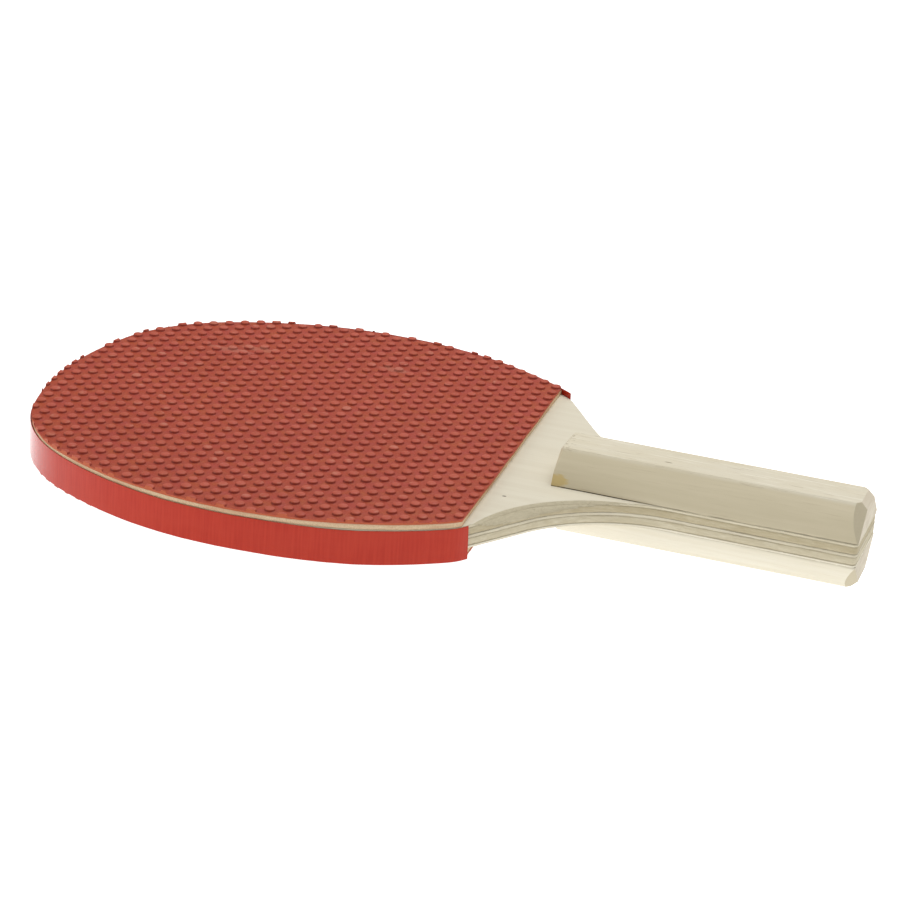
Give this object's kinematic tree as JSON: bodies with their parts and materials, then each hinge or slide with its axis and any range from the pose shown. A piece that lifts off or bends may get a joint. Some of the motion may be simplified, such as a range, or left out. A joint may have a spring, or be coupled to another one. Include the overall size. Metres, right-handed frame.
{
  "type": "table tennis paddle",
  "caption": "Table tennis paddle with a plywood blade, pimpled rubber faces, a taped edge and a straight wooden handle.",
  "frame": {"origin": "middle of the paddle's overall length and width, on the middle plane of the blade", "axes": "+X along the handle from the tip of the head to the butt, +Y across the blade, away from the side with the neck's bevel, +Z out of the face with that bevel"},
  "size_m": [0.248, 0.1506, 0.0258],
  "materials": {
    "basswood_veneer": "bare sanded basswood",
    "cross_grain_ply": "bare cross-grain plywood edge",
    "handle_wood": "bare sawn and sanded basswood",
    "cream_sponge": "matte cut foam",
    "red_rubber": "satin red rubber",
    "red_tape": "glossy red vinyl tape"
  },
  "bodies": {
    "root": {"core_ply": "basswood_veneer", "upper_crossband": "cross_grain_ply", "lower_crossband": "cross_grain_ply", "upper_face_veneer": "basswood_veneer", "lower_face_veneer": "basswood_veneer", "upper_sponge": "cream_sponge", "lower_sponge": "cream_sponge", "upper_pimpled_rubber": "red_rubber", "lower_pimpled_rubber": "red_rubber", "edge_tape": "red_tape", "upper_handle_scale": "handle_wood", "lower_handle_scale": "handle_wood"}
  },
  "joints": []
}
